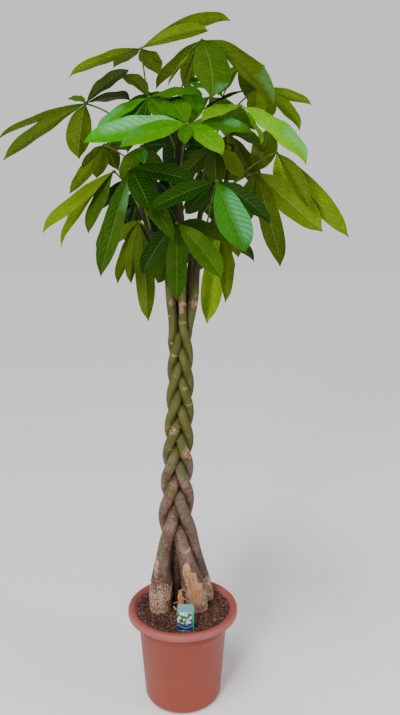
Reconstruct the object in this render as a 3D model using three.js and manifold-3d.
// Potted money tree: five plaited stems with palmate leaves, in a round plastic grower's pot.
// Units are millimetres, +Z is up, and the origin is the centre of the pot's underside.
// The front of the plant faces -Y.

import * as THREE from 'three';
import * as BufferGeometryUtils from 'three/addons/utils/BufferGeometryUtils.js';
import Module from 'manifold-3d';

const wasm = await Module();
wasm.setup();

// Clearance between neighbouring pieces
const gap = 0.3;

// Pot
const rimRadius = 145;
const potHeight = 251;
const potSides = 28;
const wallThickness = 2.6;
const footRadius = 102.5;
const shoulderRadius = 118;
const shoulderHeight = 228;
const cornerRadius = 17;
const lipRadius = 9.5;
const lipSkirt = 7.5;
const lipTurn = 165;
const throatRadius = 118.6;
const throatHeight = 237.5;
const drainHoles = 4;
const drainRadius = 7;
const drainCircle = 58;
const drainSides = 10;

// Soil
const soilHeight = 233;
const soilEdgeHeight = 243;
const soilRise = 9;
const soilRiseStart = 88;
const soilRings = 4;
const soilRoughness = 2.2;
const soilMound = 5;

// Plait: one weave step is the height in which every stem turns 36 degrees of its figure of eight
const stepTurn = 36;
const footStep = -2.75;
const plaitStart = 423;
const weaveStep = 36.3;
const footStretch = 46;
const footStretchSteps = 1.8;
const plaitTop = 14.6;
const plaitWidth = 2.28;
const plaitDepth = 2.2;
const widthRipple = 0.05;
const depthRipple = -0.25;
const widestPlaitRadius = 15.2;
const weaveSoftness = 0.8;
const plaitLeanX = 12;
const plaitLeanY = 18;
const plaitOffsetX = -3;

// Stems: thickness at the crown of the plait, how it grows downwards, and the woody flare at the foot
const crownHeight = 933;
const crownStemRadius = 9.2;
const stemTaper = 0.0075;
const flareHeight = 417;
const footFlare = 3;
const flareFall = 100;
const swellingHeight = 295;
const swellingSpread = 70;
const buriedPart = 0.6;
const leaderRadius = 9.2;
const leaderTipRadius = 4.2;
const stemSides = 7;
const stemSteps = 52;

// Leaves
const bladeThickness = 0.9;
const ribThickness = 1.7;
const foldDepth = 0.26;
const leafletRise = 0.07;
const leafletArch = 0.07;
const crowdedPart = 0.25;
const backBladeSlenderness = 0.3;
const hubRadius = 5.5;
const hubOverlap = 0.35;
const petioleRadius = 2;
const petioleFootRadius = 3.2;
const petioleSides = 5;
const leafClearance = 1.6;
const petioleArch = 0.12;
const petioleSteps = 5;
const petioleTries = 40;
const petioleSway = 3;
const leafletTries = 80;
const leafletShortening = 0.003;
const leafletSwing = 0.07;

// Plant tag
const tagWidth = 42;
const tagThickness = 1.2;
const tagTop = 306;
const tagFoot = 150;
const tagCorner = 9;
const tagStakeWidth = 10;
const tagPointWidth = 3;
const tagShoulderHeight = 237;
const tagStakeHeight = 211;
const tagPlace = new THREE.Vector3(10, -95, 0);

const up = new THREE.Vector3(0, 0, 1);

// Small maths helpers
const degrees = (angle) => THREE.MathUtils.degToRad(angle);
const point = (x, y, z) => new THREE.Vector3(x, y, z);
const smooth = (low, high, value) => THREE.MathUtils.smoothstep(value, low, high);
const mix = THREE.MathUtils.lerp;

// A repeatable random number in -1..1, so that every build gives the same plant
function seededRandom(seed) {
  let state = seed;
  return () => {
    state = (state * 16807) % 2147483647;
    return (state / 2147483647) * 2 - 1;
  };
}

// Closed triangle mesh to solid and back
function toSolid(geometry) {
  const bare = geometry.clone();
  bare.deleteAttribute('normal');
  bare.deleteAttribute('uv');
  const merged = BufferGeometryUtils.mergeVertices(bare, 1e-4);
  const vertProperties = new Float32Array(merged.getAttribute('position').array);
  const triVerts = new Uint32Array(merged.getIndex().array);
  return new wasm.Manifold(new wasm.Mesh({ numProp: 3, vertProperties, triVerts }));
}

function toGeometry(solid) {
  const mesh = solid.getMesh();
  const geometry = new THREE.BufferGeometry();
  geometry.setAttribute('position', new THREE.BufferAttribute(mesh.vertProperties, 3));
  geometry.setIndex(new THREE.BufferAttribute(mesh.triVerts, 1));
  geometry.computeVertexNormals();
  return geometry;
}

// Triangles from a list of corner points and a list of corner numbers
function meshFrom(corners, faces) {
  const geometry = new THREE.BufferGeometry();
  const positions = corners.flatMap((corner) => [corner.x, corner.y, corner.z]);
  geometry.setAttribute('position', new THREE.Float32BufferAttribute(positions, 3));
  geometry.setIndex(faces.flat());
  return geometry;
}

// A closed tube whose radius changes along a curve; overhang makes both of its ends that much longer
function taperedTube(curve, steps, sides, radiusAt, overhang = 0) {
  const frames = curve.computeFrenetFrames(steps, false);
  const corners = [];
  const faces = [];
  for (let step = 0; step <= steps; step += 1) {
    const centre = curve.getPointAt(step / steps);
    if (step === 0 || step === steps) {
      centre.addScaledVector(frames.tangents[step], step === 0 ? -overhang : overhang);
    }
    const radius = radiusAt(centre, step / steps);
    for (let side = 0; side < sides; side += 1) {
      const angle = (side / sides) * Math.PI * 2;
      const across = frames.normals[step].clone().multiplyScalar(Math.cos(angle) * radius);
      const over = frames.binormals[step].clone().multiplyScalar(Math.sin(angle) * radius);
      corners.push(centre.clone().add(across).add(over));
    }
  }
  for (let step = 0; step < steps; step += 1) {
    for (let side = 0; side < sides; side += 1) {
      const here = step * sides + side;
      const next = step * sides + ((side + 1) % sides);
      faces.push([here, next, next + sides], [here, next + sides, here + sides]);
    }
  }
  const last = steps * sides;
  for (let side = 1; side < sides - 1; side += 1) {
    faces.push([0, side + 1, side], [last, last + side, last + side + 1]);
  }
  return meshFrom(corners, faces);
}

// Points of an arc in [radius, height] pairs
function arcPoints(centreX, centreY, radius, from, to, count) {
  const points = [];
  for (let index = 0; index <= count; index += 1) {
    const angle = degrees(mix(from, to, index / count));
    points.push([centreX + radius * Math.cos(angle), centreY + radius * Math.sin(angle)]);
  }
  return points;
}

// A closed outline of [radius, height] pairs turned round the Z axis
function turned(outline) {
  const profile = outline.map(([radius, height]) => new THREE.Vector2(radius, height));
  return new THREE.LatheGeometry(profile, potSides).rotateX(Math.PI / 2);
}

// Pot: one wall turned round the axis, with a rolled lip open underneath and drain holes in the floor
function makePot() {
  const lipCentre = rimRadius - lipRadius;
  const lipHeight = potHeight - lipRadius;
  const innerLip = lipRadius - wallThickness;
  const innerCorner = cornerRadius - wallThickness;
  const outline = [
    [0, 0],
    ...arcPoints(footRadius - cornerRadius - 1, cornerRadius, cornerRadius, -90, -10, 3),
    [shoulderRadius, shoulderHeight],
    [shoulderRadius + 3, shoulderHeight + 8],
    ...arcPoints(lipCentre, lipHeight, innerLip, lipTurn - 5, 0, 4),
    [lipCentre + innerLip, lipHeight - lipSkirt],
    [rimRadius, lipHeight - lipSkirt],
    ...arcPoints(lipCentre, lipHeight, lipRadius, 0, lipTurn, 5),
    [throatRadius, throatHeight],
    [shoulderRadius - wallThickness, shoulderHeight],
    ...arcPoints(footRadius - cornerRadius - 1, cornerRadius, innerCorner, -10, -90, 2),
    [0, wallThickness],
  ];
  let pot = toSolid(turned(outline));
  for (let hole = 0; hole < drainHoles; hole += 1) {
    const drill = new THREE.CylinderGeometry(drainRadius, drainRadius, 4 * wallThickness, drainSides);
    drill.rotateX(Math.PI / 2);
    const angle = (hole / drainHoles) * Math.PI * 2;
    drill.translate(drainCircle * Math.cos(angle), drainCircle * Math.sin(angle), 0);
    pot = pot.subtract(toSolid(drill));
  }
  return pot;
}

// Radius of the pot's inner wall at a height
function potInnerRadius(height) {
  const lowRadius = footRadius - 1 - wallThickness;
  const highRadius = shoulderRadius - wallThickness;
  return mix(lowRadius, highRadius, (height - cornerRadius) / (shoulderHeight - cornerRadius));
}

// Stems: where each one stands in the soil, how much it swells there, and where it leaves the plait
const stems = [
  {
    name: 'stem_front_left',
    foot: [-61, 2],
    swelling: 5,
    turn: 198,
    straightens: [200, 470],
    leader: [[33, -6, 1062], [41, -12, 1150], [76, -30, 1240], [108, -22, 1340], [128, 12, 1430]],
  },
  {
    name: 'stem_back_left',
    foot: [-31, 49],
    swelling: -2,
    turn: 270,
    straightens: [170, 400],
    leader: [[3, -14, 1062], [5, -26, 1150], [0, -38, 1260], [-6, -32, 1380], [-14, -10, 1530]],
  },
  {
    name: 'stem_front_right',
    foot: [41, 8],
    swelling: 6,
    turn: 54,
    straightens: [200, 470],
    leader: [[-29, -8, 1062], [-36, -20, 1140], [-76, -32, 1230], [-114, -12, 1325], [-138, 20, 1400]],
  },
  {
    name: 'stem_back_right',
    foot: [63, 63],
    swelling: -3,
    turn: 342,
    straightens: [200, 470],
    leader: [[-15, 24, 1062], [-21, 38, 1150], [-50, 62, 1260], [-70, 80, 1370], [-76, 96, 1470]],
  },
  {
    name: 'stem_middle',
    foot: [-12, 90],
    swelling: -8,
    turn: 126,
    straightens: [250, 480],
    leader: [[17, 22, 1062], [24, 42, 1150], [45, 70, 1260], [60, 95, 1370], [62, 110, 1480]],
  },
];

const stemBark = 0x6b5f3a;
const leafGreen = 0x4f7a14;

function plaitHeight(step) {
  return plaitStart + weaveStep * step + footStretch * (1 - Math.exp(-step / footStretchSteps));
}

// Thickness that all five stems share, from the crown down to the soil
function stemBodyRadius(height) {
  const taper = crownStemRadius + (crownHeight - height) * stemTaper;
  return taper + footFlare * Math.exp(Math.min(1, (flareHeight - height) / flareFall));
}

function stemRadius(stem, height) {
  if (height > plaitHeight(plaitTop)) {
    const leaderTop = stem.leader[stem.leader.length - 1][2];
    const grown = (height - plaitHeight(plaitTop)) / (leaderTop - plaitHeight(plaitTop));
    return mix(leaderRadius, leaderTipRadius, grown);
  }
  const swelling = stem.swelling * Math.exp(-(((height - swellingHeight) / swellingSpread) ** 2));
  const aboveSoil = smooth(tagFoot, soilHeight, height);
  return (stemBodyRadius(height) + swelling) * mix(buriedPart, 1, aboveSoil);
}

// The plait is a flat figure of eight: sideways once and back and forth twice in each turn
function plaitPoint(stem, step) {
  const height = plaitHeight(step);
  const radius = Math.min(stemBodyRadius(height), widestPlaitRadius);
  const wovenSteps = 0.5 * (step + Math.sqrt(step * step + weaveSoftness));
  const turn = degrees(stem.turn + stepTurn * wovenSteps);
  const leanX = plaitOffsetX - plaitLeanX * (1 - smooth(500, 900, height));
  const leanY = plaitLeanY * (1 - smooth(420, 900, height));
  const sideways = radius * plaitWidth * (Math.cos(turn) + widthRipple * Math.cos(3 * turn));
  const depth = -radius * plaitDepth * (Math.sin(2 * turn) + depthRipple * Math.sin(4 * turn));
  const woven = smooth(stem.straightens[0], stem.straightens[1], height);
  return point(
    mix(stem.foot[0], leanX + sideways, woven),
    mix(stem.foot[1], leanY + depth, woven),
    height,
  );
}

function stemCurve(stem) {
  const route = [];
  for (let step = footStep; step <= plaitTop; step += 0.5) {
    route.push(plaitPoint(stem, step));
  }
  route.push(...stem.leader.map(([x, y, z]) => point(x, y, z)));
  const curve = new THREE.CatmullRomCurve3(route, false, 'centripetal');
  curve.arcLengthDivisions = 600;
  return curve;
}

function stemTube(stem, extra) {
  const radiusAt = (centre) => stemRadius(stem, centre.z) + extra;
  return toSolid(taperedTube(stem.curve, stemSteps, stemSides, radiusAt, extra));
}

for (const stem of stems) {
  stem.curve = stemCurve(stem);
  stem.solid = stemTube(stem, 0);
  stem.sleeve = stemTube(stem, gap);
}

// The point on a stem's centre line at a height
function stemPointAt(stem, height) {
  let low = 0;
  let high = 1;
  for (let round = 0; round < 24; round += 1) {
    const middle = (low + high) / 2;
    if (stem.curve.getPointAt(middle).z < height) {
      low = middle;
    } else {
      high = middle;
    }
  }
  return stem.curve.getPointAt(low);
}

// Plant tag: a flat stake with round shoulders that tapers to a point in the soil
function makeTag() {
  const half = tagWidth / 2;
  const arcHeight = tagTop - tagCorner;
  const outline = new THREE.Shape();
  outline.moveTo(-half, tagShoulderHeight);
  outline.absarc(tagCorner - half, arcHeight, tagCorner, Math.PI, Math.PI / 2, true);
  outline.absarc(half - tagCorner, arcHeight, tagCorner, Math.PI / 2, 0, true);
  outline.lineTo(half, tagShoulderHeight);
  outline.lineTo(tagStakeWidth / 2, tagStakeHeight);
  outline.lineTo(tagPointWidth / 2, tagFoot);
  outline.lineTo(-tagPointWidth / 2, tagFoot);
  outline.lineTo(-tagStakeWidth / 2, tagStakeHeight);
  const plate = new THREE.ExtrudeGeometry(outline, {
    depth: tagThickness, bevelEnabled: false, curveSegments: 3,
  });
  plate.rotateX(Math.PI / 2);
  plate.translate(tagPlace.x, tagPlace.y + tagThickness / 2, 0);
  return toSolid(plate);
}

// The plain slot in the soil that the tag stands in
function makeTagSlot() {
  const depth = tagTop - tagFoot;
  const slot = new THREE.BoxGeometry(tagWidth + 2 * gap, tagThickness + 2 * gap, depth);
  slot.translate(tagPlace.x, tagPlace.y, tagFoot - gap + depth / 2);
  return toSolid(slot);
}

// Soil: fills the pot up to the lip, a little hollow round the stems and uneven by a formula
function soilTop(radius, angle) {
  const mound = soilMound * (1 - radius / shoulderRadius);
  const bank = soilRise * smooth(soilRiseStart, throatRadius, radius);
  const coarse = Math.sin(radius * 0.11 + 2 * angle) * Math.cos(3 * angle - radius * 0.05);
  const fine = Math.sin(7 * angle + radius * 0.21);
  return soilHeight + mound + bank + soilRoughness * (0.7 * coarse + 0.4 * fine);
}

function makeSoil() {
  const floor = wallThickness + gap;
  const innerCorner = cornerRadius - wallThickness - gap;
  const neckRadius = potInnerRadius(shoulderHeight) - gap;
  const lipEndRadius = rimRadius - lipRadius + lipRadius * Math.cos(degrees(lipTurn));
  const lipEndHeight = potHeight - lipRadius + lipRadius * Math.sin(degrees(lipTurn));
  const slope = (lipEndRadius - throatRadius) / (lipEndHeight - throatHeight);
  const topRadius = throatRadius + slope * (soilEdgeHeight - throatHeight) - 1.5 * gap;
  const outline = [
    [0, floor],
    ...arcPoints(footRadius - cornerRadius - 1, cornerRadius, innerCorner, -90, -10, 2),
    [neckRadius, shoulderHeight],
    [throatRadius - 1.2 * gap, throatHeight + gap],
    [topRadius, soilEdgeHeight],
  ];
  for (let ring = soilRings - 1; ring >= 0; ring -= 1) {
    outline.push([(topRadius * ring) / soilRings, soilEdgeHeight]);
  }
  const body = turned(outline);
  const places = body.getAttribute('position');
  for (let index = 0; index < places.count; index += 1) {
    const radius = Math.hypot(places.getX(index), places.getY(index));
    if (places.getZ(index) > soilEdgeHeight - 1 && radius < topRadius - 1) {
      places.setZ(index, soilTop(radius, Math.atan2(places.getY(index), places.getX(index))));
    }
  }
  let soil = toSolid(body);
  for (const stem of stems) {
    soil = soil.subtract(stem.sleeve);
  }
  return soil.subtract(makeTagSlot());
}

// Leaves that can be told apart from the front. Each one has the height at which its petiole leaves the stem,
// the hub where the leaflets meet, the way its upper side faces, and its leaflets: the place of the tip, the
// width of the blade and, for a leaflet that is rolled about its rib, the angle in degrees.
const frontLeaves = [
  {
    name: 'top_left', stem: 'stem_back_right', height: 1445,
    hub: [-95, 40, 1650], faces: [0, 0.35, 1],
    tips: [[-250, -20, 1575, 42], [-170, 120, 1635, 34], [-60, 130, 1620, 50], [115, 40, 1710, 46],
      [65, -10, 1665, 32, -30]],
  },
  {
    name: 'far_left', stem: 'stem_back_right', height: 1425,
    hub: [-220, -10, 1515], faces: [-0.1, 0.35, 0.95],
    tips: [[-405, -60, 1440, 34, -10], [-420, 10, 1395, 42], [-260, 90, 1410, 56],
      [-125, 110, 1550, 48], [-110, -110, 1560, 34], [-245, -80, 1510, 26]],
  },
  {
    name: 'top_right', stem: 'stem_back_left', height: 1500,
    hub: [50, -50, 1640], faces: [0, -0.1, 1],
    tips: [[70, -150, 1495, 74], [207, -70, 1500, 64, -35], [-60, 40, 1565, 46], [-30, -60, 1535, 46],
      [20, 100, 1570, 44]],
  },
  {
    name: 'back_right', stem: 'stem_middle', height: 1460,
    hub: [145, 80, 1625], faces: [0.1, 0.4, 1],
    tips: [[90, 90, 1560, 38], [175, 190, 1575, 44], [215, 150, 1515, 48], [210, 200, 1640, 40]],
  },
  {
    name: 'right', stem: 'stem_middle', height: 1430,
    hub: [180, 20, 1555], faces: [0.2, 0.3, 1],
    tips: [[55, -50, 1490, 38, -20], [185, 100, 1500, 46], [230, 110, 1505, 46], [305, -10, 1515, 40],
      [290, 60, 1485, 42]],
  },
  {
    name: 'front_right', stem: 'stem_back_left', height: 1470,
    hub: [135, -110, 1485], faces: [0.1, -0.6, 0.8],
    tips: [[50, -170, 1445, 36], [275, -130, 1368, 70], [190, -20, 1425, 40]],
  },
  {
    name: 'front', stem: 'stem_back_left', height: 1330,
    hub: [20, -170, 1435], faces: [0, -0.8, 0.6],
    tips: [[-200, -150, 1405, 64], [-115, -215, 1385, 40, -15], [-25, -60, 1515, 56],
      [90, -240, 1365, 44], [165, -130, 1450, 40], [15, -240, 1385, 26]],
  },
  {
    name: 'upper_left', stem: 'stem_back_left', height: 1400,
    hub: [-70, -60, 1515], faces: [-0.1, -0.55, 0.8],
    tips: [[50, -100, 1515, 46], [0, -110, 1450, 44], [-180, -100, 1435, 46], [-160, -80, 1410, 42],
      [-145, 60, 1595, 38]],
  },
  {
    name: 'left', stem: 'stem_back_right', height: 1330,
    hub: [-190, 60, 1435], faces: [-0.3, 0.5, 0.8],
    tips: [[-240, 20, 1375, 28], [-270, 50, 1315, 40], [-220, 120, 1365, 42], [-170, 150, 1390, 40],
      [-145, 150, 1440, 40]],
  },
  {
    name: 'low_left', stem: 'stem_front_right', height: 1255,
    hub: [-155, -30, 1360], faces: [-0.3, -0.75, 0.6],
    tips: [[-310, -80, 1225, 44], [-285, -10, 1195, 34], [-215, -60, 1220, 40], [-290, 60, 1265, 36]],
  },
  {
    name: 'inner_left', stem: 'stem_back_left', height: 1290,
    hub: [-85, -90, 1405], faces: [-0.1, -0.8, 0.6],
    tips: [[-125, -120, 1330, 40], [-75, -150, 1355, 24], [-25, -120, 1400, 40], [-45, -60, 1335, 44]],
  },
  {
    name: 'front_left', stem: 'stem_front_right', height: 1215,
    hub: [-105, -140, 1350], faces: [0, -0.8, 0.6],
    tips: [[45, -180, 1310, 46], [-55, -230, 1255, 48], [-180, -150, 1125, 44], [-10, -190, 1200, 40]],
  },
  {
    name: 'front_low', stem: 'stem_back_left', height: 1115,
    hub: [-5, -140, 1235], faces: [0.05, -0.85, 0.5],
    tips: [[-5, -160, 1070, 42], [90, -200, 1120, 48], [-85, -110, 1125, 44], [110, -50, 1200, 40],
      [-55, -40, 1100, 44]],
  },
  {
    name: 'front_middle', stem: 'stem_front_left', height: 1195,
    hub: [80, -210, 1315], faces: [0.1, -0.85, 0.5],
    tips: [[140, -240, 1175, 66], [-55, -250, 1255, 38], [200, -150, 1235, 42], [20, -150, 1255, 46]],
  },
  {
    name: 'mid_right', stem: 'stem_middle', height: 1265,
    hub: [185, 60, 1370], faces: [0.2, 0.75, 0.6],
    tips: [[95, 120, 1365, 44], [248, 90, 1145, 54], [345, 40, 1228, 76], [215, 130, 1485, 60],
      [160, 130, 1245, 46]],
  },
  {
    name: 'far_right', stem: 'stem_front_left', height: 1300,
    hub: [230, 20, 1410], faces: [0.25, 0.65, 0.7],
    tips: [[405, 20, 1220, 54], [300, -40, 1280, 46], [265, 110, 1295, 44]],
  },
  {
    name: 'bottom_left', stem: 'stem_back_right', height: 1140,
    hub: [-105, 40, 1250], faces: [-0.2, 0.5, 0.8],
    tips: [[-85, -10, 1010, 48], [-165, 50, 1100, 32], [-115, 0, 1100, 36], [-150, 10, 1180, 48],
      [-45, 110, 1115, 44]],
  },
  {
    name: 'bottom_right', stem: 'stem_middle', height: 1130,
    hub: [100, 40, 1240], faces: [0.2, 0.5, 0.8],
    tips: [[67, 60, 1000, 52], [110, 10, 1055, 40], [145, 110, 1165, 44], [35, 110, 1125, 46]],
  },
  {
    name: 'inner_right', stem: 'stem_back_left', height: 1255,
    hub: [75, -100, 1400], faces: [0.1, -0.8, 0.6],
    tips: [[5, -110, 1335, 46], [70, -130, 1310, 44], [140, -90, 1340, 44], [25, -60, 1435, 44]],
  },
  {
    name: 'inner_top', stem: 'stem_back_left', height: 1455,
    hub: [20, -20, 1555], faces: [0, -0.4, 0.9],
    tips: [[-40, -40, 1500, 44], [35, -70, 1475, 44], [95, -40, 1515, 44], [45, 60, 1610, 44]],
  },
  {
    name: 'middle', stem: 'stem_middle', height: 1330,
    hub: [55, 40, 1435], faces: [0, 0.3, 1],
    tips: [[-30, 0, 1370, 46], [60, 120, 1355, 50], [140, 110, 1385, 46], [120, -40, 1415, 40],
      [-10, 130, 1435, 46]],
  },
];

// Leaves on the far side: [stem, height of the petiole's foot, bearing, distance out, hub height, size]
const backLeaves = [
  ['stem_middle', 1150, 62, 170, 1255, 200],
  ['stem_back_right', 1160, 100, 190, 1235, 210],
  ['stem_back_right', 1190, 138, 165, 1300, 190],
  ['stem_middle', 1290, 78, 200, 1395, 215],
  ['stem_back_right', 1280, 118, 205, 1375, 215],
  ['stem_middle', 1350, 45, 170, 1470, 190],
  ['stem_back_right', 1400, 96, 200, 1500, 205],
  ['stem_middle', 1440, 65, 170, 1570, 180],
  ['stem_back_right', 1430, 122, 160, 1575, 175],
];

const backLeafletCount = 5;
const backLeafletSpread = 300;
const backLeafDip = 38;

// The leaflets of a leaf that spreads evenly round its hub, longest away from the stem
function evenLeaflets(hub, bearing, size, random) {
  const leaflets = [];
  for (let index = 0; index < backLeafletCount; index += 1) {
    const fan = (index / (backLeafletCount - 1) - 0.5) * backLeafletSpread + 8 * random();
    const heading = degrees(bearing + fan);
    const length = size * (0.62 + 0.38 * Math.cos(degrees(fan) / 2) ** 2);
    const dip = degrees(backLeafDip + 12 * random());
    const out = point(Math.cos(heading), Math.sin(heading), 0).multiplyScalar(length * Math.cos(dip));
    const tip = hub.clone().add(out).addScaledVector(up, -length * Math.sin(dip));
    leaflets.push({ tip, width: backBladeSlenderness * length, roll: 0 });
  }
  return leaflets;
}

function leafPlan() {
  const random = seededRandom(41);
  const plan = frontLeaves.map((leaf) => ({
    name: leaf.name,
    stem: stems.find((stem) => stem.name === leaf.stem),
    height: leaf.height,
    hub: point(...leaf.hub),
    pole: point(...leaf.faces).normalize(),
    leaflets: leaf.tips.map(([x, y, z, width, roll = 0]) => ({ tip: point(x, y, z), width, roll })),
  }));
  backLeaves.forEach(([stemName, height, bearing, distance, hubHeight, size], index) => {
    const heading = degrees(bearing);
    const hub = point(distance * Math.cos(heading), distance * Math.sin(heading), hubHeight);
    plan.push({
      name: `back_${index + 1}`,
      stem: stems.find((stem) => stem.name === stemName),
      height,
      hub,
      pole: point(Math.cos(heading), Math.sin(heading), 1.4).normalize(),
      leaflets: evenLeaflets(hub, bearing, size, random),
    });
  });
  return plan;
}

// A leaflet: a thin blade folded up along its rib, narrow at the hub, widest past its middle, pointed
const bladeOutline = [[0, 0.05], [0.36, 0.9], [0.7, 0.96]];

function makeLeaflet(hub, tip, pole, width, roll) {
  const reach = tip.clone().sub(hub);
  const length = reach.length();
  const along = reach.clone().normalize();
  const lift = pole.clone().addScaledVector(along, -pole.dot(along)).normalize();
  lift.applyAxisAngle(along, degrees(roll));
  const rise = up.clone().addScaledVector(along, -up.dot(along));
  const bend = hub.clone().addScaledVector(reach, 0.5);
  bend.addScaledVector(rise, leafletRise * length).addScaledVector(lift, leafletArch * length);
  const start = hub.clone().addScaledVector(along, hubOverlap * hubRadius);
  const rib = new THREE.QuadraticBezierCurve3(start, bend, tip);
  const corners = [];
  for (const [place, breadth] of bladeOutline) {
    const centre = rib.getPoint(place);
    const forward = rib.getTangent(place);
    const side = forward.clone().cross(lift).normalize();
    const top = side.clone().cross(forward).normalize();
    const half = 0.5 * width * breadth;
    const edge = place === 0 ? ribThickness : bladeThickness;
    const leftEdge = centre.clone().addScaledVector(side, -half).addScaledVector(top, half * foldDepth);
    const rightEdge = centre.clone().addScaledVector(side, half).addScaledVector(top, half * foldDepth);
    corners.push(
      leftEdge.clone().addScaledVector(top, edge / 2),
      centre.clone().addScaledVector(top, ribThickness / 2),
      rightEdge.clone().addScaledVector(top, edge / 2),
      rightEdge.clone().addScaledVector(top, -edge / 2),
      centre.clone().addScaledVector(top, -ribThickness / 2),
      leftEdge.clone().addScaledVector(top, -edge / 2),
    );
  }
  const faces = [[0, 4, 1], [0, 5, 4], [1, 3, 2], [1, 4, 3]];
  const last = (bladeOutline.length - 1) * 6;
  for (let start = 0; start < last; start += 6) {
    const [a, b, c, d, e, f] = [0, 1, 2, 3, 4, 5].map((corner) => corner + start);
    faces.push([a, b + 6, a + 6], [a, b, b + 6], [b, c + 6, b + 6], [b, c, c + 6]);
    faces.push([f, f + 6, e + 6], [f, e + 6, e], [e, e + 6, d + 6], [e, d + 6, d]);
    faces.push([c, d + 6, c + 6], [c, d, d + 6], [f, a + 6, f + 6], [f, a, a + 6]);
  }
  const tipCorner = corners.length;
  corners.push(tip.clone());
  for (let corner = 0; corner < 6; corner += 1) {
    faces.push([last + corner, last + ((corner + 1) % 6), tipCorner]);
  }
  return toSolid(meshFrom(corners, faces));
}

// A petiole: a thin round stalk from the middle of its stem to the hub, arched a little upwards
function makePetiole(leaf, sway) {
  const foot = stemPointAt(leaf.stem, leaf.height);
  const reach = leaf.hub.clone().sub(foot);
  const lift = up.clone().multiplyScalar(petioleArch * reach.length()).add(sway);
  const near = foot.clone().addScaledVector(reach, 0.3).add(lift);
  const far = foot.clone().addScaledVector(reach, 0.7).add(lift);
  const curve = new THREE.CubicBezierCurve3(foot, near, far, leaf.hub);
  const radiusAt = (centre, place) => mix(petioleFootRadius, petioleRadius, smooth(0, 0.35, place));
  return toSolid(taperedTube(curve, petioleSteps, petioleSides, radiusAt));
}

// What is already placed, so that a later piece can be bent clear of it
const placed = [];

function place(solid, owner) {
  placed.push({ solid, owner, box: solid.boundingBox() });
}

function boxesApart(one, other) {
  return [0, 1, 2].some((axis) => (
    one.min[axis] > other.max[axis] + leafClearance || one.max[axis] < other.min[axis] - leafClearance
  ));
}

function isClear(solid, ownNames) {
  const box = solid.boundingBox();
  return placed.every((other) => (
    ownNames.includes(other.owner)
    || boxesApart(box, other.box)
    || solid.minGap(other.solid, leafClearance) >= leafClearance
  ));
}

function ball(centre, radius) {
  return toSolid(new THREE.IcosahedronGeometry(radius, 1).translate(centre.x, centre.y, centre.z));
}

// The stalk is tried straight first, then swayed more and more until it is clear of everything
function placePetiole(leaf) {
  const random = seededRandom(977);
  for (let attempt = 0; attempt < petioleTries; attempt += 1) {
    const sway = point(random(), random(), random()).multiplyScalar(petioleSway * attempt);
    const stalk = makePetiole(leaf, sway).subtract(leaf.stem.sleeve);
    if (stalk.decompose().length === 1 && isClear(stalk, [leaf.name, leaf.stem.name])) {
      leaf.pieces.push(stalk);
      place(stalk, leaf.name);
      return;
    }
  }
  throw new Error(`no room for the stalk of ${leaf.name}`);
}

// Each leaflet is tried where the plan puts it, then swung and shortened until it is clear of the rest
function placeLeaflets(leaf) {
  const random = seededRandom(331);
  const siblings = [];
  for (const { tip, width, roll } of leaf.leaflets) {
    const reach = tip.clone().sub(leaf.hub);
    for (let attempt = 0; attempt < leafletTries; attempt += 1) {
      const length = reach.length() * (1 - leafletShortening * attempt);
      const swing = point(random(), random(), random());
      swing.multiplyScalar(leafletSwing * length * Math.sqrt(attempt));
      const bentTip = leaf.hub.clone().add(reach.clone().add(swing).setLength(length));
      const leaflet = makeLeaflet(leaf.hub, bentTip, leaf.pole, width, roll);
      const outer = leaflet.subtract(ball(leaf.hub, crowdedPart * length));
      const freeOfSiblings = siblings.every((sibling) => outer.minGap(sibling, leafClearance) > 1);
      if (freeOfSiblings && isClear(leaflet, [leaf.name])) {
        leaf.pieces.push(leaflet);
        siblings.push(outer);
        place(leaflet, leaf.name);
        break;
      }
    }
  }
}

for (const stem of stems) {
  place(stem.solid, stem.name);
}

const leaves = leafPlan();
for (const leaf of leaves) {
  leaf.pieces = [];
  placePetiole(leaf);
}
for (const leaf of leaves) {
  placeLeaflets(leaf);
  const hub = new THREE.OctahedronGeometry(hubRadius).translate(leaf.hub.x, leaf.hub.y, leaf.hub.z);
  leaf.solid = wasm.Manifold.union([toSolid(hub), ...leaf.pieces]).simplify(0.05);
}

// The finished plant, each piece a named mesh
const plant = new THREE.Group();

function addPiece(name, solid, color, roughness) {
  const material = new THREE.MeshStandardMaterial({ color, roughness, metalness: 0 });
  const mesh = new THREE.Mesh(toGeometry(solid), material);
  mesh.name = name;
  plant.add(mesh);
}

addPiece('pot', makePot(), 0xa35d4e, 0.55);
addPiece('soil', makeSoil(), 0x3c2820, 0.95);
addPiece('plant_tag', makeTag(), 0x4fb3b5, 0.4);
for (const stem of stems) {
  addPiece(stem.name, stem.solid, stemBark, 0.85);
}
for (const leaf of leaves) {
  addPiece(`leaf_${leaf.name}`, leaf.solid, leafGreen, 0.45);
}

export default plant;
